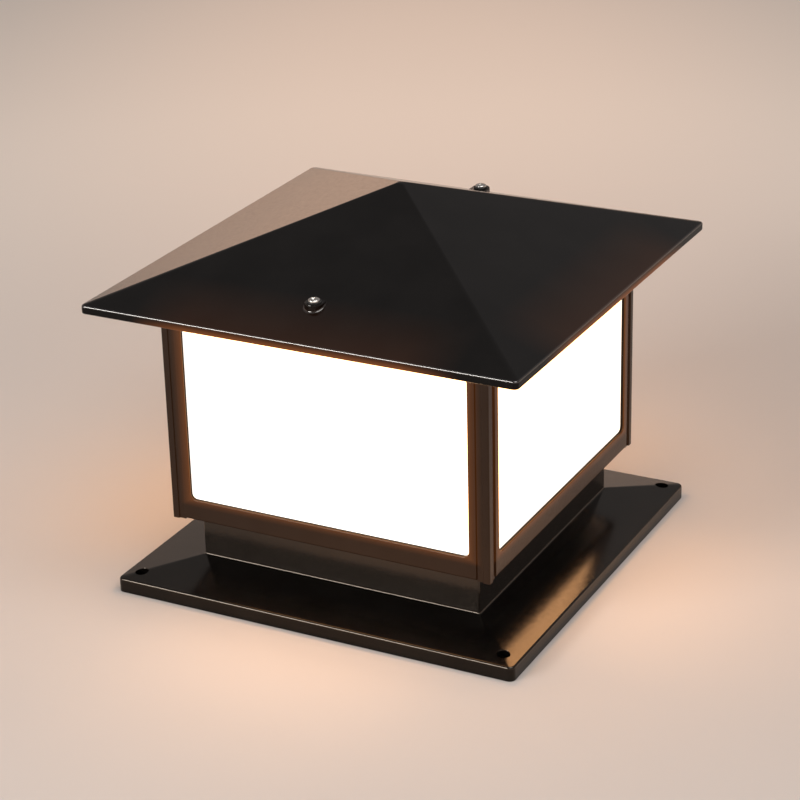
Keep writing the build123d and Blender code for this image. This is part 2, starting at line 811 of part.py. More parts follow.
def earth_lug():
    """Ring terminal under the earth screw, with a barrel that points to the terminal block."""
    plate = rod(lug_ring_radius, (floor_top, floor_top + lug_plate_thickness), earth_x, earth_y)
    reach = lug_ring_radius + lug_barrel_gap
    neck_x = (earth_x - lug_barrel_radius, earth_x + lug_barrel_radius)
    plate += cuboid(neck_x, (earth_y - reach, earth_y), (floor_top, floor_top + lug_plate_thickness))
    plate -= rod(m4_radius + hole_clearance, (floor_bottom, floor_top + cut_overrun), earth_x, earth_y)
    axis_z = floor_top + lug_barrel_radius
    middle_y = earth_y - reach - lug_barrel_length / 2
    barrel = Rot(90, 0, 0) * Cylinder(lug_barrel_radius, lug_barrel_length)
    bore = Rot(90, 0, 0) * Cylinder(lead_radius + slide_clearance, lug_barrel_length + cut_overrun)
    place = Pos(earth_x, middle_y, axis_z)
    bore_reach = Pos(earth_x, middle_y - cut_overrun / 2, axis_z)
    return (plate + place * barrel) - bore_reach * bore


def earth_screw():
    seat = floor_top + lug_plate_thickness
    return Pos(earth_x, earth_y, seat) * pan_screw(m4_radius, earth_screw_length, m4_head_radius, m4_head_height)


def lead(points):
    """A round wire along straight runs joined by wide arcs."""
    vectors = [Vector(*point) for point in points]
    runs = [b - a for a, b in zip(vectors, vectors[1:])]
    bends = []
    for before, after in zip(runs, runs[1:]):
        shorter = min(before.length, after.length)
        bends.append(lead_bend_share * shorter / tan(radians(before.get_angle(after) / 2)))
    print("lead bend radii", [round(bend, 1) for bend in bends])
    route = FilletPolyline(*points, radius=bends)
    section = Plane(origin=route @ 0, z_dir=route % 0) * Circle(lead_radius)
    return sweep(section, path=route)


def route_between(start, end, shares):
    """Points from start to end, each at its own share of the way along x, y and z."""
    points = [start]
    for share in shares:
        points.append(tuple(a + part * (b - a) for a, b, part in zip(start, end, share)))
    return points + [end]


def lamp_lead(pole_y, hole_y):
    start = (block_x - block_depth / 2 + lead_insert, pole_y, floor_top + wire_hole_height)
    end = (lead_hole_x, hole_y, holder_base() + lead_hole_depth - seat_clearance)
    return lead(route_between(start, end, lead_live_shares))


def earth_lead():
    start = (block_x - block_depth / 2 + lead_insert, pole_pitch, floor_top + wire_hole_height)
    barrel_end = earth_y - lug_ring_radius - lug_barrel_gap - lug_barrel_length
    end = (earth_x, barrel_end + lead_insert, floor_top + lug_barrel_radius)
    return lead(route_between(start, end, lead_earth_shares))


def save(name, shape):
    solids = shape if isinstance(shape, list) else shape.solids()
    result = solids[0] if len(solids) == 1 else Compound(children=list(solids))
    export_step(result, os.path.join("parts", name + ".step"))


def save_sides(name, front_shape):
    """The same piece on all four sides, from the one on the front."""
    for quarter, side in enumerate(("front", "right", "rear", "left")):
        save(side + "_" + name, Rot(0, 0, 90 * quarter) * front_shape)


def save_posts():
    post = corner_post()
    for quarter, corner in enumerate(("front_right", "rear_right", "rear_left", "front_left")):
        save(corner + "_post", Rot(0, 0, 90 * quarter) * post)


def save_pair(name, front_shape):
    save("front_" + name, front_shape)
    save("rear_" + name, Rot(0, 0, 180) * front_shape)


os.makedirs("parts", exist_ok=True)
save("base_casting", base_casting())
save("neck_gasket", neck_gasket())
save("floor_plate", floor_plate())
save("floor_screws", floor_screws())
save_posts()
save("lower_post_screws", lower_post_screws())
save_sides("frame", front_window_frame())
save_sides("seal", front_seal())
save_sides("pane", front_pane())
save("top_ring", top_ring())
save("upper_post_screws", upper_post_screws())
save("roof_gasket", roof_gasket())
save("roof_cap", roof_cap())
save_pair("washer", roof_washer())
save_pair("roof_screw", roof_screw())
save("holder_bracket", holder_bracket())
save("bracket_screws", bracket_screws())
save("lamp_holder", lamp_holder())
save("holder_screws", holder_screws())
save("holder_shell", holder_shell())
save("holder_contact", holder_contact())
save("bulb_tip", bulb_tip())
save("bulb_insulator", bulb_insulator())
save("bulb_cap", bulb_cap())
save("bulb_collar", bulb_collar())
save("bulb_board", bulb_board())
save("bulb_globe", bulb_globe())
save("terminal_block", terminal_block())
save("terminal_screws", terminal_screws())
save("block_screws", block_screws())
save("cable_gland", cable_gland())
save("gland_seal", gland_seal())
save("gland_cap", gland_cap())
save("gland_nut", gland_nut())
save("earth_lug", earth_lug())
save("earth_screw", earth_screw())
save("live_lead", lamp_lead(-pole_pitch, -lead_hole_y))
save("neutral_lead", lamp_lead(0, lead_hole_y))
save("earth_lead", earth_lead())
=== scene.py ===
import math

import bmesh
import bpy
import numpy as np
from mathutils import Matrix, Vector


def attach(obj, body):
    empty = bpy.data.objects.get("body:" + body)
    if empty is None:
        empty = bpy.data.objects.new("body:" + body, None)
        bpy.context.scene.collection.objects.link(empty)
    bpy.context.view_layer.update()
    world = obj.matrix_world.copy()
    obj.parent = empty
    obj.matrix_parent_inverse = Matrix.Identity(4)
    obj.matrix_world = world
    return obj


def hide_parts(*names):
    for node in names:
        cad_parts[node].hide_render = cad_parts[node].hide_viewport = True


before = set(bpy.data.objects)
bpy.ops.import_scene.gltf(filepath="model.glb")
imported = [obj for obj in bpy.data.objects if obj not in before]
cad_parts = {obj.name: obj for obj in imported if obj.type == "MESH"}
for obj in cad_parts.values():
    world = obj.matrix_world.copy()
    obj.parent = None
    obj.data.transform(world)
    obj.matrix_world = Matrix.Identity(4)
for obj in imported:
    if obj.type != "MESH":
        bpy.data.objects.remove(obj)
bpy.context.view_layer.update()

# Base casting: hipped foot and square neck, one aluminium casting that is open underneath, with
# ribs and four bolt bosses. It is sprayed with black powder and baked, which leaves a fine grain.

mm = 0.001
same_point = 0.00001 * mm
foot_half, foot_edge, foot_top, foot_corner = 142.8, 9.8, 16.9, 4.0
neck_half, neck_top, neck_corner = 100.5, 47.4, 0.9
base_wall, neck_opening, hip_round = 3.2, 78.0, 1.3
bolt_line, bolt_radius, boss_radius, rib_half, rib_lift = 131.2, 4.25, 9.0, 1.5, 2.0
sink_low, sink_high, sink_radius = 11.1, 12.9, bolt_radius + 1.0
floor_screw_line, floor_boss_radius, floor_boss_depth, floor_hole_radius = 88.0, 6.0, 12.2, 2.55
untrimmed, sunk = 20, 1.2
coat_dark = (0.0026, 0.0022, 0.0020, 1)
coat_light = (0.0046, 0.0040, 0.0037, 1)
coat_tint = (1.0, 0.87, 0.74, 1)
noise_range = (0.3, 0.7)


def new_object(name, data):
    """An object in the scene for a mesh, a lamp or a camera."""
    made = bpy.data.objects.new(name, data)
    bpy.context.scene.collection.objects.link(made)
    return made


def new_piece(name, points, faces):
    """A mesh object from points in millimetres, with its faces turned outwards."""
    mesh = bpy.data.meshes.new(name)
    mesh.from_pydata([Vector(point) * mm for point in points], [], faces)
    work = bmesh.new()
    work.from_mesh(mesh)
    bmesh.ops.remove_doubles(work, verts=work.verts, dist=same_point)
    bmesh.ops.recalc_face_normals(work, faces=work.faces)
    work.to_mesh(mesh)
    work.free()
    return new_object(name, mesh)


def rounded_path(corners, radii, steps=6):
    """A path through the corners, each rounded by its own radius."""
    path = []
    for place, (corner, radius) in enumerate(zip(corners, radii)):
        corner = Vector(corner)
        if radius == 0:
            path.append(tuple(corner))
            continue
        before = Vector(corners[place - 1]) - corner
        after = Vector(corners[(place + 1) % len(corners)]) - corner
        half_turn = before.angle(after) / 2
        reach = radius / math.tan(half_turn)
        inward = (before.normalized() + after.normalized()).normalized()
        middle = corner + inward * radius / math.sin(half_turn)
        start = corner + before.normalized() * reach - middle
        end = corner + after.normalized() * reach - middle
        sweep = start.angle(end)
        for step in range(steps + 1):
            share = step / steps
            arm = start * math.sin((1 - share) * sweep) + end * math.sin(share * sweep)
            path.append(tuple(middle + arm / math.sin(sweep)))
    return path


def rectangle_loop(half_x, half_y, radius, steps=6):
    """Points round a rectangle with rounded corners, the same number for any radius."""
    loop = []
    for quarter, (x, y) in enumerate(((1, 1), (-1, 1), (-1, -1), (1, -1))):
        for step in range(steps + 1):
            turn = math.radians(90 * (quarter + step / steps))
            loop.append((x * (half_x - radius) + radius * math.cos(turn),
                         y * (half_y - radius) + radius * math.sin(turn)))
    return loop


def ring(radius, height, sides=48, x=0.0, y=0.0):
    """Points round a level circle."""
    turns = [math.tau * side / sides for side in range(sides)]
    return [(x + radius * math.cos(turn), y + radius * math.sin(turn), height) for turn in turns]


def four(offset, height=0):
    """Places at the corners of a level square."""
    return [(x * offset, y * offset, height) for x in (-1, 1) for y in (-1, 1)]


def skin(name, loops, closed=True):
    """A piece between loops of points that each have the same number of points."""
    count = len(loops[0])
    points = [point for loop in loops for point in loop]
    faces = []
    for row in range(len(loops) if closed else len(loops) - 1):
        here, there = row * count, (row + 1) % len(loops) * count
        for spot in range(count):
            beside = (spot + 1) % count
            faces.append((here + spot, here + beside, there + beside, there + spot))
    if not closed:
        faces.append(tuple(range(count)))
        faces.append(tuple(range((len(loops) - 1) * count, len(loops) * count)))
    return new_piece(name, points, faces)


def square_stack(name, profile, corner_radius, closed=True, steps=6):
    """A square form from half widths and heights, with its corner radius from a function."""
    loops = []
    for half, height in profile:
        radius = min(corner_radius(half, height), half * 0.98)
        loops.append([(x, y, height) for x, y in rectangle_loop(half, half, radius, steps)])
    return skin(name, loops, closed)


def round_bar(name, radius, low, high, x, y, sides=48):
    """A round bar that stands upright."""
    return skin(name, [ring(radius, z, sides, x, y) for z in (low, high)], closed=False)


def block(name, low, high):
    """A plain block between two opposite corners."""
    corners = [(low[0], low[1]), (high[0], low[1]), (high[0], high[1]), (low[0], high[1])]
    return skin(name, [[(x, y, z) for x, y in corners] for z in (low[2], high[2])], closed=False)


def join(name, pieces):
    """One object from several, with their meshes side by side."""
    work = bmesh.new()
    for piece in pieces:
        work.from_mesh(piece.data)
        bpy.data.objects.remove(piece)
    mesh = bpy.data.meshes.new(name)
    work.to_mesh(mesh)
    work.free()
    return new_object(name, mesh)


def apply_modifiers(piece):
    """The piece with its modifiers made part of its mesh."""
    graph = bpy.context.evaluated_depsgraph_get()
    mesh = bpy.data.meshes.new_from_object(piece.evaluated_get(graph), depsgraph=graph)
    piece.modifiers.clear()
    piece.data = mesh
    mesh.name = piece.name
    return piece


def combine(piece, tool, operation):
    """Cuts, joins or trims a piece with another one."""
    boolean = piece.modifiers.new("combine", "BOOLEAN")
    boolean.operation = operation
    boolean.solver = "EXACT"
    boolean.object = tool
    apply_modifiers(piece)
    bpy.data.objects.remove(tool)
    return piece


def smooth(piece, crease=32):
    """Smooth shading, with edges over the crease angle in degrees kept sharp."""
    for face in piece.data.polygons:
        face.use_smooth = True
    piece.data.set_sharp_from_angle(angle=math.radians(crease))
    weighted = piece.modifiers.new("weighted", "WEIGHTED_NORMAL")
    weighted.keep_sharp = True
    weighted.weight = 90
    return apply_modifiers(piece)


def set_inputs(node, values):
    """Gives a node's inputs plain values, or links from other nodes' outputs."""
    for label, value in values.items():
        if isinstance(value, bpy.types.NodeSocket):
            node.id_data.links.new(value, node.inputs[label])
        else:
            node.inputs[label].default_value = value


def add_node(tree, kind, values, output=0):
    """The output of a new node with these inputs."""
    node = tree.nodes.new(kind)
    set_inputs(node, values)
    return node.outputs[output]


def new_finish(name, colour, roughness, metallic=0.0):
    """A material with one shader, ready for its surface detail."""
    material = bpy.data.materials.new(name)
    material.use_nodes = True
    tree = material.node_tree
    shader = tree.nodes["Principled BSDF"]
    set_inputs(shader, {"Base Color": colour, "Roughness": roughness, "Metallic": metallic})
    return material, tree, shader


def object_place(tree):
    """The place in the piece's own coordinates."""
    return add_node(tree, "ShaderNodeTexCoord", {}, "Object")


def place_noise(tree, scale, detail=2.0, stretch=(1, 1, 1)):
    """Noise that is fixed to the object, with its scale counted per metre."""
    place = add_node(tree, "ShaderNodeMapping", {"Vector": object_place(tree), "Scale": stretch})
    return add_node(tree, "ShaderNodeTexNoise", {"Vector": place, "Scale": scale, "Detail": detail})


def colour_ramp(tree, source, dark, light, low=0.0, high=1.0):
    """A colour from dark to light while the source goes from low to high."""
    ramp = tree.nodes.new("ShaderNodeValToRGB")
    for element, place, colour in zip(ramp.color_ramp.elements, (low, high), (dark, light)):
        element.position = place
        element.color = colour
    tree.links.new(source, ramp.inputs["Fac"])
    return ramp.outputs["Color"]


def map_range(tree, source, start, end, low=0.0, high=1.0, smoothly=False):
    """A number from low to high while the source goes from start to end."""
    spread = tree.nodes.new("ShaderNodeMapRange")
    if smoothly:
        spread.interpolation_type = "SMOOTHSTEP"
    set_inputs(spread, {"Value": source, "From Min": start, "From Max": end,
                        "To Min": low, "To Max": high})
    return spread.outputs["Result"]


def relief(tree, layers):
    """A surface normal from layers of noise, each with its height in millimetres and strength."""
    normal = None
    for noise, height, strength in layers:
        values = {"Height": noise, "Distance": height * mm, "Strength": strength}
        if normal is not None:
            values["Normal"] = normal
        normal = add_node(tree, "ShaderNodeBump", values)
    return normal


def dress(tree, shader, gloss, rough, layers, patch=None, colours=(), edges=(0.35, 0.65)):
    """Adds relief to a shader, and varies its roughness and, if given, its colour by noise."""
    set_inputs(shader, {"Roughness": map_range(tree, gloss, *noise_range, *rough),
                        "Normal": relief(tree, layers)})
    if colours:
        shade = colour_ramp(tree, patch, *colours, *edges)
        set_inputs(shader, {"Base Color": shade})


def black_powder(name, roughness, reflect, rough, swell, peel, grain):
    """Baked black powder. Swell, peel and grain are each a scale, a height and a strength."""
    material, tree, shader = new_finish(name, coat_dark, roughness)
    shader.inputs["Specular IOR Level"].default_value = reflect
    layers = [(place_noise(tree, scale, detail), height, strength)
              for detail, (scale, height, strength) in ((3, swell), (2, peel), (2, grain))]
    dress(tree, shader, layers[1][0], rough, layers, layers[0][0], (coat_dark, coat_light))
    return material, tree, shader


def powder_coat(name, reflect, rough=(0.12, 0.18), peel_height=0.035, grain_height=0.018):
    """The coat of all black metal but the roof: a fine pebbled grain of uneven gloss."""
    material, tree, shader = black_powder(name, 0.24, reflect, rough, (45, 0.25, 0.35),
                                          (420, peel_height, 0.5), (1500, grain_height, 0.6))
    shader.inputs["Specular Tint"].default_value = coat_tint
    return material


cast_coat = powder_coat("cast_coat", 0.62)
edge_coat = powder_coat("edge_coat", 0.25)
foot_slope = (foot_top - foot_edge) / (foot_half - neck_half)
drop = base_wall * math.hypot(1, foot_slope)
cavity_edge, cavity_top = (edge + base_wall * foot_slope - drop for edge in (foot_edge, foot_top))
neck_inside, foot_inside = neck_half - base_wall, foot_half - base_wall
outside_path = rounded_path(
    [(neck_opening, 0), (foot_half, 0), (foot_half, foot_edge), (neck_half, foot_top),
     (neck_half, neck_top), (neck_opening, neck_top)], [0, 0.4, 1.6, 1.4, 0.5, 0])


def base_corner(half, height):
    """Sharp at the neck, a small round along the foot's hips, a larger one at its edge."""
    sizes = [0, neck_half - 1, neck_half + 3, foot_half - 3, foot_half]
    radii = [neck_corner, neck_corner, hip_round, hip_round, foot_corner]
    return float(np.interp(half, sizes, radii))


cavity = [(neck_opening, neck_top - base_wall), (neck_inside, neck_top - base_wall),
          (neck_inside, cavity_top), (foot_inside, cavity_edge), (foot_inside, 0)]
base = square_stack("base", outside_path[1:] + cavity, base_corner)
within = [(foot_half - sunk, -1), (foot_half - sunk, foot_edge - sunk),
          (neck_half, foot_top - sunk), (neck_half - sunk, 19)]
whole = square_stack("whole", within, lambda half, height: 2.0, closed=False)
inner = neck_half - base_wall / 2
under = [round_bar("boss", boss_radius, 0.1, untrimmed, x, y) for x, y, _ in four(bolt_line)]
for eighth in range(8):
    reach = (bolt_line - 4) * math.sqrt(2) if eighth % 2 else foot_half - 1
    start = inner * math.sqrt(2) if eighth % 2 else inner
    rib = block("rib", (start, -rib_half, rib_lift), (reach, rib_half, untrimmed))
    rib.data.transform(Matrix.Rotation(math.radians(45 * eighth), 4, "Z"))
    under.append(rib)
for piece in under:
    trimmed = combine(piece, whole.copy(), "INTERSECT")
    combine(base, trimmed, "UNION")
bpy.data.objects.remove(whole)
for x, y, _ in four(floor_screw_line):
    boss_low = neck_top - floor_boss_depth
    combine(base, round_bar("neck_boss", floor_boss_radius, boss_low, neck_top - 1, x, y), "UNION")
    hole = round_bar("neck_hole", floor_hole_radius, neck_top - 20, neck_top + 5, x, y)
    combine(base, hole, "DIFFERENCE")
drill_sizes = [(bolt_radius, -5), (bolt_radius, sink_low),
               (sink_radius, sink_high), (sink_radius, untrimmed)]
for x, y, _ in four(bolt_line):
    drill = [ring(radius, height, x=x, y=y) for radius, height in drill_sizes]
    combine(base, skin("drill", drill, closed=False), "DIFFERENCE")
smooth(base)
base.data.materials.append(cast_coat)
base.data.materials.append(edge_coat)
for face in base.data.polygons:
    x, y, z = face.center / mm
    if z < foot_edge - 1.2 and max(abs(x), abs(y)) > foot_half - 1:
        face.material_index = 1
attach(base, "lantern")
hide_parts("base_casting")

# Neck gasket and floor: a die-cut rubber frame lies on the neck, and the aluminium floor plate
# of the body is screwed down on it. Both stay as the CAD nodes and get their finish here.


def scaled(colour, share, lift=0.0):
    """A colour made lighter or darker."""
    return tuple(min(part * share + lift, 1) for part in colour[:3]) + (1,)


def rubber(name, colour):
    """Dull rubber with a fine grain and lighter patches."""
    material, tree, shader = new_finish(name, colour, 0.7)
    patch = place_noise(tree, 60, 3)
    layers = [(place_noise(tree, 2200), 0.02, 0.5)]
    dress(tree, shader, patch, (0.6, 0.8), layers, patch, (colour, scaled(colour, 1.5)))
    return material


def worked_metal(name, colour, roughness, stretch, scale=900):
    """Bare metal with fine drawn or brushed lines."""
    material, tree, shader = new_finish(name, colour, roughness, metallic=1.0)
    lines = place_noise(tree, scale, 3, stretch)
    dress(tree, shader, lines, (roughness * 0.75, roughness * 1.3), [(lines, 0.005, 0.4)],
          place_noise(tree, 70, 3), (scaled(colour, 0.82), colour))
    return material


def finish_node(node, material):
    """A piece that stays as it is in the CAD gets its material."""
    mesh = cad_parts[node].data
    mesh.materials.clear()
    mesh.materials.append(material)


black_rubber = rubber("black_rubber", (0.018, 0.018, 0.018, 1))
rolled_aluminium = worked_metal("rolled_aluminium", (0.62, 0.62, 0.63, 1), 0.34, (0.05, 1, 1))
finish_node("neck_gasket", black_rubber)
finish_node("floor_plate", rolled_aluminium)

# Corner posts: four lengths of one aluminium extrusion, with a bead down the corner, a groove each
# side of it, slots that take the edges of the window frames and a screw port down the middle.

body_half, post_low, frame_top, floor_top = 114.5, 47.5, 198.0, 51.6
bead, groove, post_face, core_end = 4.7, 1.0, 9.2, 11.6
slot_bottom, slot_front, slot_back = 7.3, 2.2, 3.6
fin_end, fin_front, fin_back = 14.0, 6.0, 7.8
port_radius, port_depth, core_inset, core_reach = 1.55, 8, 3.5, 20
post_arm = [(bead, 0), (bead, groove), (post_face, groove), (post_face, slot_front),
            (slot_bottom, slot_front), (slot_bottom, slot_back), (post_face, slot_back),
            (post_face, fin_front), (fin_end, fin_front), (fin_end, fin_back), (core_end, fin_back)]
post_rounds = [0.55, 0.3, 0.3, 0, 0, 0, 0, 0, 0.3, 0.3, 0]
extruded_coat = powder_coat("extruded_coat", 0.34, (0.16, 0.24), 0.02, 0.006)
window_half, window_low, window_high, window_round = 100.0, 62.9, 183.5, 4.0
# Painted warm glow beside the windows: its reach in millimetres, its level at the edge and beyond.
painted_spill_reach, painted_spill_near, painted_spill_far = 9, 0.34, 0.12


def calculate(tree, kind, *values, vector=False):
    """The result of a sum of numbers, or of places or colours as vectors."""
    node = tree.nodes.new("ShaderNodeVectorMath" if vector else "ShaderNodeMath")
    node.operation = kind
    set_inputs(node, dict(enumerate(values)))
    return node.outputs["Vector" if vector and kind != "LENGTH" else "Value"]


def along_side(tree):
    """The distance along a side from its middle, and the height."""
    parts = tree.nodes.new("ShaderNodeSeparateXYZ")
    set_inputs(parts, {"Vector": object_place(tree)})
    sideways = [calculate(tree, "ABSOLUTE", parts.outputs[axis]) for axis in ("X", "Y")]
    return calculate(tree, "MINIMUM", *sideways), parts.outputs["Z"]


def from_window(tree):
    """The distances of a place beyond the window's sides and beyond its rails."""
    across, height = along_side(tree)
    from_middle = calculate(tree, "SUBTRACT", height, (window_low + window_high) / 2 * mm)
    up = calculate(tree, "ABSOLUTE", from_middle)
    return (calculate(tree, "SUBTRACT", across, window_half * mm),
            calculate(tree, "SUBTRACT", up, (window_high - window_low) / 2 * mm))


def painted_pane_spill(material):
    """A painted glow: warm emission on the metal near the windows, for the panes' light on it."""
    tree = material.node_tree
    beside, beyond = from_window(tree)
    farther = calculate(tree, "MAXIMUM", beside, calculate(tree, "MULTIPLY", beyond, 1.8))
    fall = map_range(tree, farther, 0.0, painted_spill_reach * mm, painted_spill_near, painted_spill_far)
    set_inputs(tree.nodes["Principled BSDF"], {
        "Emission Strength": calculate(tree, "POWER", fall, 2.0),
        "Emission Color": (1.0, 0.28, 0.055, 1)})


# The posts, frames and top ring share this coat: all carry the painted glow, strongest by the
# windows.
painted_pane_spill(extruded_coat)

other_arm = [(across, along) for along, across in reversed(post_arm)]
outline = [(0, 0)] + post_arm + [(core_end, core_end)] + other_arm
rounds = [0.9] + post_rounds + [0.4] + list(reversed(post_rounds))
section = [(body_half - u, v - body_half) for u, v in rounded_path(outline, rounds, 4)]
post = skin("post", [[(x, y, z) for x, y in section] for z in (post_low, frame_top)], closed=False)
core_cut = block("core_cut", (body_half - core_reach, core_inset - body_half, 40),
                 (body_half - core_inset, core_reach - body_half, floor_top))
combine(post, core_cut, "DIFFERENCE")
port = round_bar("port", port_radius, 40, 210, body_half - port_depth, port_depth - body_half, 24)
combine(post, port, "DIFFERENCE")
smooth(post)
post.data.materials.append(extruded_coat)


def turned_copies(piece, names):
    """The piece and copies of it, each turned a further quarter about the upright axis."""
    copies = []
    for quarter, name in enumerate(names):
        mesh = piece.data.copy()
        mesh.transform(Matrix.Rotation(math.radians(90 * quarter), 4, "Z"))
        mesh.name = name
        copies.append(new_object(name, mesh))
    bpy.data.objects.remove(piece)
    return copies


post_names = ["front_right_post", "rear_right_post", "rear_left_post", "front_left_post"]
posts = turned_copies(post, ["post_" + name[:-5] for name in post_names])
for copy, node in zip(posts, post_names):
    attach(copy, "lantern")
    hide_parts(node)

# Window frames: one die-cast frame for each side, slid down between two posts. It has a bevelled
# window, a rebate for the pane, side tongues in the posts' slots and a ledge on the floor.

frame_half, frame_low, frame_depth, frame_corner = 105.2, 48.4, 3.5, 0.3
window_bevel, pane_recess, rebate, rebate_corner = 0.7, 2.4, 3.2, 0.4
tongue_end, tongue_front = 107.0, 2.3
ledge_half, ledge_front, ledge_back, ledge_rise = 99.5, 3.3, 8.5, 2
edge_steps = [(0, 0, 1.2), (0, 0.35, 0.35), (0.1, 0.75, 0.1), (0.35, 1.2, 0)]


def window_loop(half, low, high, radius, depth):
    """A rounded rectangle in the front wall, at a depth behind its face."""
    middle, loop = (low + high) / 2, rectangle_loop(half, (high - low) / 2, radius)
    return [(x, depth - body_half, middle + z) for x, z in loop]


def grown_window(outset, radius, depth):
    """A loop round the window at an outset from it."""
    low, high = window_low - outset, window_high + outset
    return window_loop(window_half + outset, low, high, radius, depth)


def window_frame():
    """The front frame: its rim round the window, two tongues and the ledge."""
    loops = [window_loop(frame_half, frame_low, frame_top, frame_corner, frame_depth)]
    for inset, bottom_inset, depth in edge_steps:
        loops.append(window_loop(frame_half - inset, frame_low + bottom_inset, frame_top - inset,
                                 frame_corner, depth))
    for step in range(5):
        turn = math.radians(90 * step / 4)
        outset = window_bevel * (1 - math.sin(turn))
        depth = window_bevel * (1 - math.cos(turn))
        loops.append(grown_window(outset, window_round + outset, depth))
    loops.append(grown_window(0, window_round, pane_recess))
    loops += [grown_window(rebate, rebate_corner, depth) for depth in (pane_recess, frame_depth)]
    pieces = [skin("rim", loops)]
    pieces.append(block("ledge", (-ledge_half, ledge_front - body_half, floor_top),
                        (ledge_half, ledge_back - body_half, floor_top + ledge_rise)))
    for side in (-1, 1):
        start, end = sorted((side * (frame_half - 0.5), side * tongue_end))
        pieces.append(block("tongue", (start, tongue_front - body_half, frame_low),
                            (end, frame_depth - body_half, frame_top)))
    return smooth(join("front", pieces), 40)


side_names = ["front", "right", "rear", "left"]
one_frame = window_frame()
one_frame.data.materials.append(extruded_coat)
one_frame.data.materials.append(powder_coat("window_wall", 0.1, (0.60, 0.75), 0.02, 0.006))
for face in one_frame.data.polygons:
    x, y, z = face.center / mm
    beside_pane = window_bevel < y + body_half < pane_recess
    if beside_pane and abs(x) < window_half + 0.1 and window_low - 0.1 < z < window_high + 0.1:
        face.material_index = 1
frames = turned_copies(one_frame, ["window_frame_" + side for side in side_names])
for copy, side in zip(frames, side_names):
    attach(copy, "lantern")
    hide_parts(side + "_frame")

# Seals and panes: each pane is a plate of opal acrylic that lies in its frame on a thin seal of
# black silicone. Lit from inside it is almost even, a little dimmer and paler in a thin rim.

pane_half, pane_low, pane_high, pane_corner = 103.0, 59.9, 186.5, 1.5
pane_front, pane_back = 2.8, 5.8
pane_glow, rim_glow, rim_start, rim_end = 4.6, 0.25, 0.3, 1.4
glow_colour = (1.0, 0.50, 0.20, 1)
rim_colour = (1.0, 0.93, 0.86, 1)


def lit_opal():
    """Opal acrylic that glows, with the fall of light worked out from the distance to the frame."""
    material, tree, shader = new_finish("lit_opal", (0.86, 0.82, 0.75, 1), 0.3)
    inwards = calculate(tree, "MULTIPLY", calculate(tree, "MAXIMUM", *from_window(tree)), -1.0)
    fall = map_range(tree, inwards, rim_start * mm, rim_end * mm, smoothly=True)
    glow = map_range(tree, fall, 0.0, 1.0, pane_glow * rim_glow, pane_glow)
    set_inputs(shader, {"Emission Strength": glow,
                        "Emission Color": colour_ramp(tree, fall, rim_colour, glow_colour)})
    layers = [(place_noise(tree, 900), 0.01, 0.3)]
    dress(tree, shader, place_noise(tree, 18), (0.24, 0.36), layers)
    return material


pane_steps = [(0.8, pane_back), (0.2, pane_back - 0.25), (0, pane_back - 0.8),
              (0, pane_front + 0.8), (0.2, pane_front + 0.25), (0.8, pane_front)]
pane_loops = [window_loop(pane_half - inset, pane_low + inset, pane_high - inset, pane_corner,
                          depth) for inset, depth in pane_steps]
pane = smooth(skin("pane", pane_loops, closed=False), 50)
pane.data.materials.append(lit_opal())
panes = turned_copies(pane, ["opal_pane_" + side for side in side_names])
for copy, side in zip(panes, side_names):
    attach(copy, "lantern")
    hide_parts(side + "_pane")
    finish_node(side + "_seal", black_rubber)

# Top ring and roof gasket: a flat black ring closes the body, with a foam-rubber gasket on it for
# the skirt of the roof to press on. The ring is cut from plate and coated with the rest.

finish_node("top_ring", extruded_coat)
finish_node("roof_gasket", black_rubber)

# Roof: one aluminium casting with a short upright lip, four plain slopes, a skirt underneath and
# two lugs for its screws, coated in the same black powder with a smoother, deeper gloss.

roof_half, lip_low, lip_high, roof_peak, roof_wall = 150.0, 197.5, 202.9, 258.0, 2.8
roof_corner, lip_round, rim_round, peak_round, ridge_round = 3.0, 1.2, 0.9, 9.0, 1.0
roof_seat, screw_line, skirt_half, skirt_corner = 205.6, 117.5, 1.5, 1.0
skirt_top_outside, skirt_top_inside = 214.2, 214.8
lug_radius, lug_stand, lug_top_round, lug_foot_round, lug_hole_radius = 6.2, 2.6, 0.8, 1.0, 2.25
pitch = (roof_peak - lip_high) / roof_half
slope_angle = math.atan(pitch)
lug_top = lip_high + (roof_half - screw_line) * pitch + lug_stand
# Painted warm glow for the panes' light on the eaves: the heights it fades over, its strength at
# each.
roof_painted_glow = (lip_high, lip_high + 15), (0.019, 0.0)
lip_painted_glow = (lip_low + 0.6, lip_low + 4.1), (0.19, 0.045)
# The painted glow is full up to the first distance from a side's middle and gone by the second.
painted_glow_full, painted_glow_end, painted_glow_colour = 75, 112, (1.0, 0.30, 0.08, 1)
lip_face, rim_face, lug_face = 1, 2, 3


def roof_coat(name, reflect, painted_glow_heights, painted_glow_strengths):
    """A smoother, deeper black coat, with a painted warm glow along the middle of each eave."""
    material, tree, shader = black_powder(name, 0.2, reflect, (0.12, 0.16), (30, 0.10, 0.25),
                                          (380, 0.008, 0.4), (1500, 0.004, 0.5))
    along, height = along_side(tree)
    low, high = (edge * mm for edge in painted_glow_heights)
    by_height = map_range(tree, height, low, high, *painted_glow_strengths)
    by_place = map_range(tree, along, painted_glow_full * mm, painted_glow_end * mm, 1.0, 0.0)
    set_inputs(shader, {"Emission Strength": calculate(tree, "MULTIPLY", by_height, by_place),
                        "Emission Color": painted_glow_colour})
    return material


def roof_corner_radius(half, height):
    """A larger round at the lip's corners than along the ridges."""
    if height < lip_high + 0.5 and half > roof_half - 3:
        return roof_corner
    return ridge_round


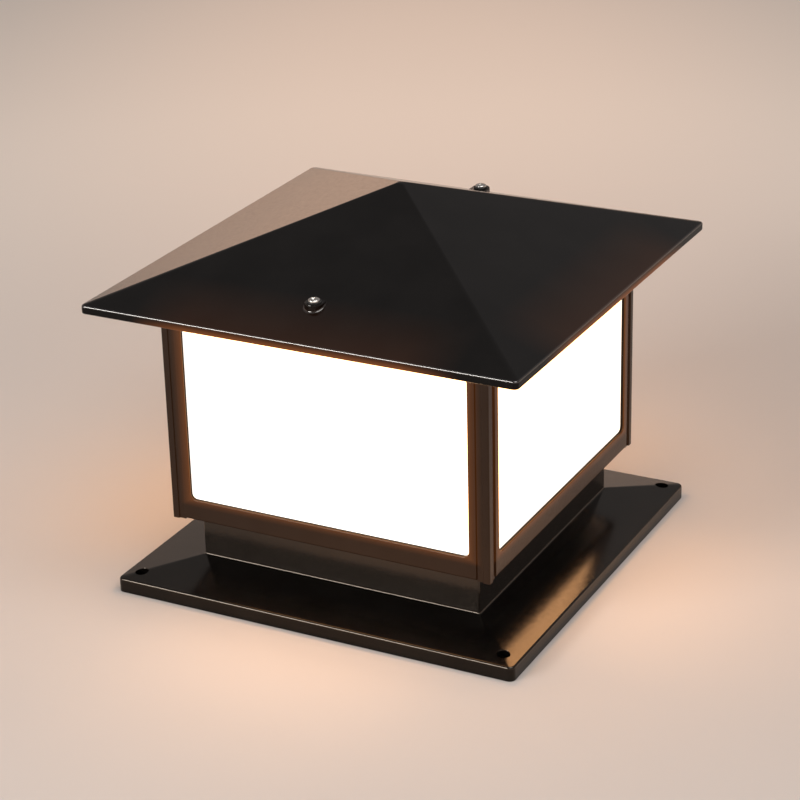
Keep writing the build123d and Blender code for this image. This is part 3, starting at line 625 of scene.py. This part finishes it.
def weld(piece, distance):
    """Joins points that cuts have left closer together than a distance in millimetres."""
    work = bmesh.new()
    work.from_mesh(piece.data)
    bmesh.ops.remove_doubles(work, verts=work.verts, dist=distance * mm)
    bmesh.ops.dissolve_degenerate(work, edges=work.edges, dist=distance * mm)
    work.to_mesh(piece.data)
    work.free()
    return piece


def half_circle(radius, steps=24):
    """Points round the front half of a circle, from right to left."""
    turns = [math.pi * step / steps for step in range(steps + 1)]
    return [(radius * math.cos(turn), -radius * math.sin(turn)) for turn in turns]


def lug():
    """The front lug, flat on top with a rounded edge. Its rear end lies inside the slope."""
    rear = lug_stand / pitch + 4 - screw_line
    loops = []
    for inset, height in ((0, roof_seat), (0, lug_top - lug_top_round), (0.11, lug_top - 0.5),
                          (0.24, lug_top - 0.24), (0.5, lug_top - 0.11), (lug_top_round, lug_top)):
        size = lug_radius - inset
        arc = [(x, y - screw_line, height) for x, y in half_circle(size)]
        loops.append(arc + [(-size, rear, height), (size, rear, height)])
    return skin("lug", loops, closed=False)


def lug_foot():
    """The hollow round between a lug and the slope, a ring that follows both."""
    straight = [step * 2.2 for step in range(1, 6)]
    sections = [(lug_foot_round + 0.15, -1.0), (lug_foot_round + 0.15, -0.05)]
    for step in range(1, 6):
        turn = math.radians(90 * step / 5)
        sections.append((lug_foot_round * (1 - math.sin(turn)) - 0.02,
                         lug_foot_round * (1 - math.cos(turn))))
    sections += [(-0.4, lug_foot_round), (-0.4, -1.0)]
    points = []
    for outset, lift in sections:
        size = lug_radius + outset
        highest = lug_top - 0.3 - (lug_foot_round - lift) / 2
        path = [(size, rear) for rear in reversed(straight)]
        path += half_circle(size) + [(-size, rear) for rear in straight]
        for x, rear in path:
            slope = lip_high + (roof_half - screw_line + rear) * pitch
            points.append((x, rear - screw_line, min(slope + lift, highest)))
    count, rows = len(path), len(sections)
    faces = [tuple(row * count + end for row in range(rows)) for end in (0, count - 1)]
    for row in range(rows):
        here, there = row * count, (row + 1) % rows * count
        faces += [(here + spot, here + spot + 1, there + spot + 1, there + spot)
                  for spot in range(count - 1)]
    return new_piece("lug_foot", points, faces)


def roof():
    """The casting: a hollow shell, its skirt, and the two lugs with their holes."""
    outer = rounded_path([(roof_half - 8, lip_low), (roof_half, lip_low), (roof_half, lip_high),
                          (0.5, roof_peak - 0.5 * pitch)], [0, rim_round, lip_round, 0])[1:-1]
    peak_top = roof_peak - peak_round * (1 / math.cos(slope_angle) - 1)
    for step in range(6):
        turn = slope_angle * (1 - step / 6)
        outer.append((peak_round * math.sin(turn), peak_top - peak_round * (1 - math.cos(turn))))
    shell = square_stack("shell", outer, roof_corner_radius, closed=False, steps=5)
    fall = roof_wall * math.hypot(1, pitch)
    hollow_half = roof_half - roof_wall
    hollow = [(hollow_half, lip_low - 9), (hollow_half, lip_high + roof_wall * pitch - fall),
              (0.4, roof_peak - fall - 0.4 * pitch)]
    hollow_piece = square_stack("hollow", hollow, roof_corner_radius, closed=False)
    combine(shell, hollow_piece, "DIFFERENCE")
    outside, inside = screw_line + skirt_half, screw_line - skirt_half
    walls = [(outside, roof_seat), (outside, skirt_top_outside),
             (inside, skirt_top_inside), (inside, roof_seat)]
    combine(shell, square_stack("skirt", walls, lambda half, height: skirt_corner), "UNION")
    for side in (-1, 1):
        for piece in (lug(), lug_foot()):
            if side > 0:
                piece.data.transform(Matrix.Rotation(math.pi, 4, "Z"))
            combine(shell, piece, "UNION")
        hole = round_bar("lug_hole", lug_hole_radius, 190, 230, 0, side * screw_line)
        combine(shell, hole, "DIFFERENCE")
    return smooth(weld(shell, 0.01), 28)


roof_piece = roof()
roof_piece.name = "roof"
rim_coat = roof_coat("rim_coat", 0.8, *roof_painted_glow)
rim_coat.node_tree.nodes["Principled BSDF"].inputs["IOR"].default_value = 1.7
for coat in (roof_coat("roof_coat", 0.32, *roof_painted_glow), roof_coat("lip_coat", 0.12, *lip_painted_glow),
             rim_coat, roof_coat("lug_coat", 0.12, *roof_painted_glow)):
    roof_piece.data.materials.append(coat)
for face in roof_piece.data.polygons:
    x, y, z = face.center / mm
    reach, from_screw = max(abs(x), abs(y)), math.hypot(x, abs(y) - screw_line)
    if z < lip_high - 1.45 and reach > roof_half - 1:
        face.material_index = lip_face
    elif reach > roof_half - 1.8:
        face.material_index = rim_face
    elif abs(face.normal.z) < 0.15 and z > lip_high and from_screw < lug_radius + 0.5:
        face.material_index = lug_face
    elif (face.normal.z < 0.9 and lip_high < z < lug_top - 1
          and lug_radius - 0.2 < from_screw < lug_radius + 1.2):
        face.material_index = rim_face
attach(roof_piece, "roof")
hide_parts("roof_cap")

# Screws: stainless button heads with a hexagon socket hold the roof, the floor, the bracket, the
# holder and the terminals, and countersunk ones go into the posts. Each is turned and rolled.

flat_m3, m3, m5 = (2.75, 1.25, 1.5), (2.75, 1.8, 1.5), (4.6, 2.8, 2.5)
low_m4, m4 = (3.8, 1.6, 2.0), (3.8, 2.2, 2.0)
size_labels = ("Head radius", "Head height", "Shank radius", "Shank length")
socket_across, socket_depth, tip_share = 0.40, 0.6, 0.8


def cone(tree, sides, bottom, top, depth, lift):
    """The side of a cone between two radii, its foot at the lift, from numbers or outputs."""
    solid = tree.nodes.new("GeometryNodeMeshCone")
    solid.fill_type = "NONE"
    set_inputs(solid, {"Vertices": sides, "Radius Top": top, "Radius Bottom": bottom,
                       "Depth": depth})
    shift = add_node(tree, "ShaderNodeCombineXYZ", {"Z": lift})
    return add_node(tree, "GeometryNodeTransform",
                    {"Geometry": solid.outputs["Mesh"], "Translation": shift})


def closed_form(tree, sides, cones):
    """One closed surface from the sides of cones that meet."""
    joined = tree.nodes.new("GeometryNodeJoinGeometry")
    for sizes in cones:
        set_inputs(joined, {"Geometry": cone(tree, sides, *sizes)})
    return add_node(tree, "GeometryNodeMergeByDistance",
                    {"Geometry": joined.outputs["Geometry"], "Distance": 0.001 * mm})


def screw_tree(name, steps):
    """Geometry nodes that put one screw on each point. The steps shape the side of its head."""
    tree = bpy.data.node_groups.new(name, "GeometryNodeTree")
    tree.interface.new_socket("Geometry", in_out="INPUT", socket_type="NodeSocketGeometry")
    for label in size_labels + ("Upside down",):
        tree.interface.new_socket(label, in_out="INPUT", socket_type="NodeSocketFloat")
    tree.interface.new_socket("Material", in_out="INPUT", socket_type="NodeSocketMaterial")
    tree.interface.new_socket("Geometry", in_out="OUTPUT", socket_type="NodeSocketGeometry")
    given, result = tree.nodes.new("NodeGroupInput"), tree.nodes.new("NodeGroupOutput")

    def times(a, b):
        """A size or share multiplied."""
        return calculate(tree, "MULTIPLY", a, b)

    radius, height, shank, length = (given.outputs[label] for label in size_labels)
    tip, low = times(length, -1.0), times(height, steps[0][2])
    top, top_radius = steps[-1][3], times(radius, steps[-1][1])
    cones = [(0.0, times(shank, tip_share), 0.0, tip),
             (times(shank, tip_share), shank, calculate(tree, "SUBTRACT", low, tip), tip),
             (shank, times(radius, steps[0][0]), 0.0, low)]
    for bottom_share, top_share, low_share, high_share in steps:
        cones.append((times(radius, bottom_share), times(radius, top_share),
                      times(height, high_share - low_share), times(height, low_share)))
    cones.append((top_radius, 0.0, 0.0, times(height, top)))
    across, rise = times(radius, socket_across), times(height, socket_depth * 2)
    floor_height = times(height, top - socket_depth)
    socket_cones = [(0.0, across, 0.0, floor_height), (across, across, rise, floor_height),
                    (across, 0.0, 0.0, calculate(tree, "ADD", floor_height, rise))]
    cut = tree.nodes.new("GeometryNodeMeshBoolean")
    cut.operation = "DIFFERENCE"
    cut.solver = "EXACT"
    set_inputs(cut, {"Mesh 1": closed_form(tree, 40, cones),
                     "Mesh 2": closed_form(tree, 6, socket_cones)})
    half_turn = times(given.outputs["Upside down"], math.pi)
    turn = add_node(tree, "ShaderNodeCombineXYZ", {"X": half_turn})
    spread = add_node(tree, "GeometryNodeInstanceOnPoints", {
        "Points": given.outputs["Geometry"], "Instance": cut.outputs["Mesh"], "Rotation": turn})
    real = add_node(tree, "GeometryNodeRealizeInstances", {"Geometry": spread})
    paint = add_node(tree, "GeometryNodeSetMaterial",
                     {"Geometry": real, "Material": given.outputs["Material"]})
    set_inputs(result, {"Geometry": paint})
    return tree


button_head = screw_tree("button_head", [
    (1.0, 1.0, 0.0, 0.45), (1.0, 0.96, 0.45, 0.65), (0.96, 0.86, 0.65, 0.83),
    (0.86, 0.70, 0.83, 0.95), (0.70, 0.52, 0.95, 1.0)])
flat_head = screw_tree("flat_head", [(0.55, 1.0, -1.0, -0.08), (1.0, 1.0, -0.08, 0.0)])
stainless = worked_metal("stainless", (0.82, 0.81, 0.79, 1), 0.24, (1, 1, 1), 1600)


def screws(name, tree, places, size, length, body, upside_down=False):
    """One piece with a screw at each place. Its size is head radius, head height, shank radius."""
    mesh = bpy.data.meshes.new(name)
    mesh.from_pydata([Vector(place) * mm for place in places], [], [])
    piece = new_object(name, mesh)
    modifier = piece.modifiers.new("screws", "NODES")
    modifier.node_group = tree
    values = dict(zip(size_labels, (part * mm for part in size + (length,))))
    values["Upside down"] = 1.0 if upside_down else 0.0
    values["Material"] = stainless
    for item in tree.interface.items_tree:
        if item.in_out == "INPUT" and item.name in values:
            modifier[item.identifier] = values[item.name]
    apply_modifiers(piece)
    smooth(weld(piece, 0.005), 30)
    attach(piece, body)
    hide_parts(name)


washer_top, post_screw_line = lug_top + 0.6, 106.5
for side, y in (("front", -screw_line), ("rear", screw_line)):
    screws(side + "_roof_screw", button_head, [(0, y, washer_top)], low_m4,
           washer_top - frame_top - 0.1, side + "_screw")
screws("floor_screws", button_head, four(floor_screw_line, floor_top), m5, 15.5, "lantern")
for level, height, turned in (("lower", 48.4, True), ("upper", 204.0, False)):
    screws(level + "_post_screws", flat_head, four(post_screw_line, height), flat_m3, 12.0,
           "lantern", upside_down=turned)
finish_node("front_washer", black_rubber)
finish_node("rear_washer", black_rubber)

# Lamp holder: a bracket of zinc-plated strip carries a glazed porcelain holder, which has a brass
# threaded sleeve and a sprung contact in its bore.

zinc_plate = worked_metal("zinc_plate", (0.55, 0.56, 0.58, 1), 0.38, (1, 0.1, 1), 700)
brass = worked_metal("brass", (0.72, 0.50, 0.20, 1), 0.3, (1, 1, 0.1), 1200)
bracket_top, bracket_screw_line, holder_flange, holder_screw_line = 53.1, 33, 74.1, 12


def glaze(name, colour):
    """Glossy glaze with a slow swell and a few darker specks."""
    material, tree, shader = new_finish(name, colour, 0.12)
    swell, specks = place_noise(tree, 90), place_noise(tree, 800, 3)
    dress(tree, shader, swell, (0.08, 0.2), [(swell, 0.1, 0.4)], specks,
          (scaled(colour, 0.9), colour), (0.2, 0.4))
    return material


finish_node("holder_bracket", zinc_plate)
finish_node("lamp_holder", glaze("porcelain", (0.80, 0.78, 0.73, 1)))
finish_node("holder_shell", brass)
finish_node("holder_contact", brass)
bracket_places = [(0, y, bracket_top) for y in (-bracket_screw_line, bracket_screw_line)]
holder_places = [(0, y, holder_flange) for y in (-holder_screw_line, holder_screw_line)]
screws("bracket_screws", button_head, bracket_places, m4, 4.6, "lantern")
screws("holder_screws", button_head, holder_places, m4, 9.3, "lantern", upside_down=True)

# Bulb: a frosted dome glued on a white plastic housing, with a rolled nickel-plated cap, a dark
# insulator and a solder tip. A round board of diodes lies on the housing inside the dome.

cap_low, cap_high, cap_crest, cap_root, cap_wall = 94.5, 117.5, 13.2, 12.2, 1.2
collar_high, collar_round, collar_wall, globe_radius, globe_wall = 152.0, 28.29, 2, 30.0, 1.5
thread_sides, thread_rows, thread_pitch, thread_fade = 72, 66, 3.6, 1.6
on_axis = 0.001


def lathe(name, profile):
    """A turned piece from an outline of radius and height that begins and ends on the axis."""
    loops = [ring(max(radius, on_axis), height, 64) for radius, height in profile]
    return smooth(skin(name, loops, closed=False), 35)


def moulded(name, colour, roughness, grain_height=0.02):
    """Moulded plastic with a fine grain and slightly lighter patches."""
    material, tree, shader = new_finish(name, colour, roughness)
    patch, grain = place_noise(tree, 50, 3), place_noise(tree, 1800)
    dress(tree, shader, patch, (roughness * 0.85, roughness * 1.15), [(grain, grain_height, 0.4)],
          patch, (colour, scaled(colour, 1.12, 0.004)))
    return material


def frosted_glow():
    """The frosted dome, brighter towards its top."""
    material, tree, shader = new_finish("frosted_glow", (0.9, 0.87, 0.8, 1), 0.35)
    height = add_node(tree, "ShaderNodeSeparateXYZ", {"Vector": object_place(tree)}, "Z")
    rise = map_range(tree, height, collar_high * mm, (collar_high + 16) * mm, 2.0, 7.0)
    set_inputs(shader, {"Emission Strength": rise, "Emission Color": (1.0, 0.80, 0.58, 1)})
    grain = place_noise(tree, 1400)
    dress(tree, shader, grain, (0.3, 0.42), [(grain, 0.015, 0.5)])
    return material


def rolled_thread():
    """The cap's rolled thread, a wave in its wall that climbs as it goes round."""
    low, high = cap_low + 0.6, cap_high - 4.2
    loops = []
    for row in range(thread_rows + 1):
        height = low + (high - low) * row / thread_rows
        fade = max(min(1, (height - low) / thread_fade, (high - height) / thread_fade), 0)
        loop = []
        for side in range(thread_sides):
            turn = math.tau * side / thread_sides
            climb = (height - low) / thread_pitch - side / thread_sides
            wave = 0.5 - 0.5 * math.cos(math.tau * climb)
            radius = cap_root + (cap_crest - cap_root) * wave * fade
            loop.append((radius * math.cos(turn), radius * math.sin(turn), height))
        loops.append(loop)
    for radius, height in ((cap_root, cap_high - 3.6), (cap_crest, cap_high - 1.0),
                           (cap_crest, cap_high), (cap_root - cap_wall, cap_high),
                           (cap_root - cap_wall, cap_low), (cap_root, cap_low)):
        loops.append(ring(radius, height, thread_sides))
    return smooth(skin("bulb_thread", loops), 40)


thread = rolled_thread()
thread.data.materials.append(worked_metal("nickel", (0.62, 0.60, 0.56, 1), 0.22, (1, 1, 0.2), 1100))
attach(thread, "bulb")
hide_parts("bulb_cap")

inside_round, base_round = collar_round - collar_wall, cap_crest - collar_wall
housing_path = rounded_path([(0, collar_high), (collar_round, collar_high),
                             (collar_round, collar_high - 5), (cap_crest, cap_high + 5),
                             (cap_crest, cap_high)], [0, 0.6, 12, 6, 0])
housing_path += [(base_round, cap_high), (base_round, cap_high + 5),
                 (inside_round, collar_high - 5), (inside_round, collar_high - collar_wall),
                 (0, collar_high - collar_wall)]
housing = lathe("bulb_housing", housing_path)
housing.data.materials.append(moulded("white_housing", (0.78, 0.77, 0.74, 1), 0.4))
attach(housing, "bulb")
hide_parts("bulb_collar")

globe_middle = collar_high + math.sqrt(globe_radius**2 - collar_round**2)
dome = []
for radius in (globe_radius, globe_radius - globe_wall):
    start = math.asin((collar_high - globe_middle) / radius)
    turns = [start + (math.pi / 2 - start) * step / 20 for step in range(21)]
    arc = [(radius * math.cos(turn), globe_middle + radius * math.sin(turn)) for turn in turns]
    arc[-1] = (0, arc[-1][1])
    dome += arc if dome else reversed(arc)
globe = lathe("bulb_dome", dome)
globe.data.materials.append(frosted_glow())
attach(globe, "bulb")
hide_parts("bulb_globe")
finish_node("bulb_board", rolled_aluminium)
finish_node("bulb_insulator", moulded("dark_insulator", (0.02, 0.02, 0.025, 1), 0.3))
finish_node("bulb_tip", worked_metal("solder", (0.55, 0.55, 0.56, 1), 0.35, (1, 1, 1)))

# Supply: a white terminal block screwed to the floor, a black cable gland through it with its nut
# and cap, and the earth point. Three silicone-covered leads join them, one colour for each pole.

block_places, earth_place = [(62, y, 59.6) for y in (-5, 5)], (28, 44, 52.4)
finish_node("terminal_block", moulded("white_polyamide", (0.72, 0.71, 0.67, 1), 0.5))
finish_node("terminal_screws", brass)
screws("block_screws", button_head, block_places, m3, 10.6, "lantern")
black_polyamide = moulded("black_polyamide", (0.02, 0.02, 0.02, 1), 0.5, 0.03)
for node in ("cable_gland", "gland_cap", "gland_nut"):
    finish_node(node, black_polyamide)
finish_node("gland_seal", black_rubber)
finish_node("earth_lug", zinc_plate)
screws("earth_screw", button_head, [earth_place], m4, 3.8, "lantern")
finish_node("live_lead", rubber("brown_silicone", (0.13, 0.045, 0.02, 1)))
finish_node("neutral_lead", rubber("blue_silicone", (0.02, 0.10, 0.38, 1)))


def earth_cover():
    """Green silicone with a yellow stripe wound round it."""
    material, tree, shader = new_finish("green_yellow_silicone", (0.1, 0.3, 0.05, 1), 0.6)
    wave = tree.nodes.new("ShaderNodeTexWave")
    wave.wave_type = "BANDS"
    wave.bands_direction = "DIAGONAL"
    set_inputs(wave, {"Vector": object_place(tree), "Scale": 90})
    green, yellow = (0.04, 0.22, 0.03, 1), (0.65, 0.55, 0.03, 1)
    set_inputs(shader, {
        "Base Color": colour_ramp(tree, wave.outputs["Fac"], green, yellow, 0.45, 0.55),
        "Normal": relief(tree, [(place_noise(tree, 2200), 0.02, 0.5)])})
    return material


finish_node("earth_lead", earth_cover())

# Floor, light and camera: a pale sweep with painted shade and a painted glow on it, soft studio
# light from the front left and above, a pale screen behind on the left, and the camera where the
# photograph was taken from.

floor_reach, floor_height = 6000, -0.05
# Floor colours: painted darker near the lantern and paler far off.
floor_colour, far_colour = (0.63, 0.585, 0.56, 1), (0.94, 0.875, 0.815, 1)
patch_middle, patch_turn, patch_size = (-0.50, 1.02, 0), (0, 0, math.radians(27.7)), (0.72, 1.35, 1)
patch_glow, far_glow, no_glow = (0.22, 0.115, 0.06, 1), (0.52, 0.41, 0.34, 1), (0, 0, 0, 1)
# Painted shade round the key lamp's foot, and the colour the floor is multiplied by there.
lamp_foot, painted_lamp_shade, no_shade = (-1.1, -1.8, 0), (0.5, 0.5, 0.5, 1), (1, 1, 1, 1)
sky_low, sky_high = (0.64, 0.48, 0.39, 1), (0.22, 0.205, 0.20, 1)


def over_distance(tree, place, start, end, near, far):
    """A colour that changes smoothly with the distance from the middle of a place."""
    reach = calculate(tree, "LENGTH", place, vector=True)
    return colour_ramp(tree, map_range(tree, reach, start, end, smoothly=True), near, far)


def sweep_material():
    """A matt pale floor, painted darker near the lantern and round the key lamp. A painted glow in
    a patch and in the distance only looks brighter.
    """
    material, tree, shader = new_finish("pale_floor", floor_colour, 0.9)
    where = object_place(tree)
    from_lamp = calculate(tree, "SUBTRACT", where, lamp_foot, vector=True)
    patch = tree.nodes.new("ShaderNodeMapping")
    patch.vector_type = "TEXTURE"
    set_inputs(patch, {"Vector": where, "Location": patch_middle, "Rotation": patch_turn,
                       "Scale": patch_size})
    # Painted shade: the floor is darker near the lantern and paler farther out.
    pale = over_distance(tree, where, 0.3, 1.1, floor_colour, far_colour)
    # Painted shade round the foot of the key lamp.
    shade = over_distance(tree, from_lamp, 0.4, 1.6, painted_lamp_shade, no_shade)
    # Painted warm glow in a patch and far off, seen only by the camera and in reflections.
    warm = over_distance(tree, patch.outputs["Vector"], 0.1, 1.0, patch_glow, no_glow)
    far = over_distance(tree, where, 1.5, 5.0, no_glow, far_glow)
    rays = tree.nodes.new("ShaderNodeLightPath").outputs
    seen_as = rays["Is Camera Ray"]
    for kind in ("Is Glossy Ray", "Is Transmission Ray"):
        seen_as = calculate(tree, "ADD", seen_as, rays[kind])
        seen_as.node.use_clamp = True
    set_inputs(shader, {"Specular IOR Level": 0.1, "Emission Strength": seen_as,
                        "Base Color": calculate(tree, "MULTIPLY", pale, shade, vector=True),
                        "Emission Color": calculate(tree, "ADD", warm, far, vector=True)})
    return material


corners = [(-1, -1), (1, -1), (1, 1), (-1, 1)]
floor = new_piece("floor", [(x * floor_reach, y * floor_reach, floor_height) for x, y in corners],
                  [(0, 1, 2, 3)])
floor.data.materials.append(sweep_material())

world = bpy.data.worlds.new("studio")
bpy.context.scene.world = world
world.use_nodes = True
sky = world.node_tree
direction = add_node(sky, "ShaderNodeTexCoord", {}, "Generated")
upwards = add_node(sky, "ShaderNodeSeparateXYZ", {"Vector": direction}, "Z")
set_inputs(sky.nodes["Background"], {
    "Color": colour_ramp(sky, upwards, sky_low, sky_high, 0.02, 0.45), "Strength": 1.0})


def soft_light(name, place, aim, width, height, power, colour):
    """A rectangular lamp that the camera doesn't see."""
    lamp = bpy.data.lights.new(name, "AREA")
    lamp.shape = "RECTANGLE"
    lamp.size, lamp.size_y = width, height
    lamp.energy = power
    lamp.color = colour
    holder = new_object(name, lamp)
    holder.location = place
    holder.rotation_euler = (Vector(aim) - Vector(place)).to_track_quat("-Z", "Y").to_euler()
    holder.visible_camera = False


soft_light("key", (-1.02, -2.02, 0.90), (0, 0, 0.1), 0.9, 0.42, 31, (1, 0.96, 0.91))
soft_light("top", (0.9, -0.5, 2.1), (0, 0, 0), 1.6, 1.6, 27, (1, 0.96, 0.92))
soft_light("screen", (-1.40, 2.62, 0.07), (0, 0, 0.2), 1.7, 0.3, 0.75, (1, 0.43, 0.16))

camera_place = (0.68804, -1.31734, 0.75457)
azimuth, elevation, roll = math.radians(27.744), math.radians(23.590), math.radians(-1.503)
back = Vector((math.sin(azimuth) * math.cos(elevation),
               -math.cos(azimuth) * math.cos(elevation), math.sin(elevation)))
right = Vector((math.cos(azimuth), math.sin(azimuth), 0))
up = back.cross(right)
turned_right = right * math.cos(roll) + up * math.sin(roll)
turned_up = up * math.cos(roll) - right * math.sin(roll)
facing = Matrix((turned_right, turned_up, back)).transposed().to_4x4()
camera_data = bpy.data.cameras.new("camera")
camera_data.lens = 110.05
camera_data.sensor_width = 36
camera = new_object("camera", camera_data)
camera.matrix_world = Matrix.Translation(camera_place) @ facing
bpy.context.scene.camera = camera
bpy.context.scene.view_settings.view_transform = "Standard"
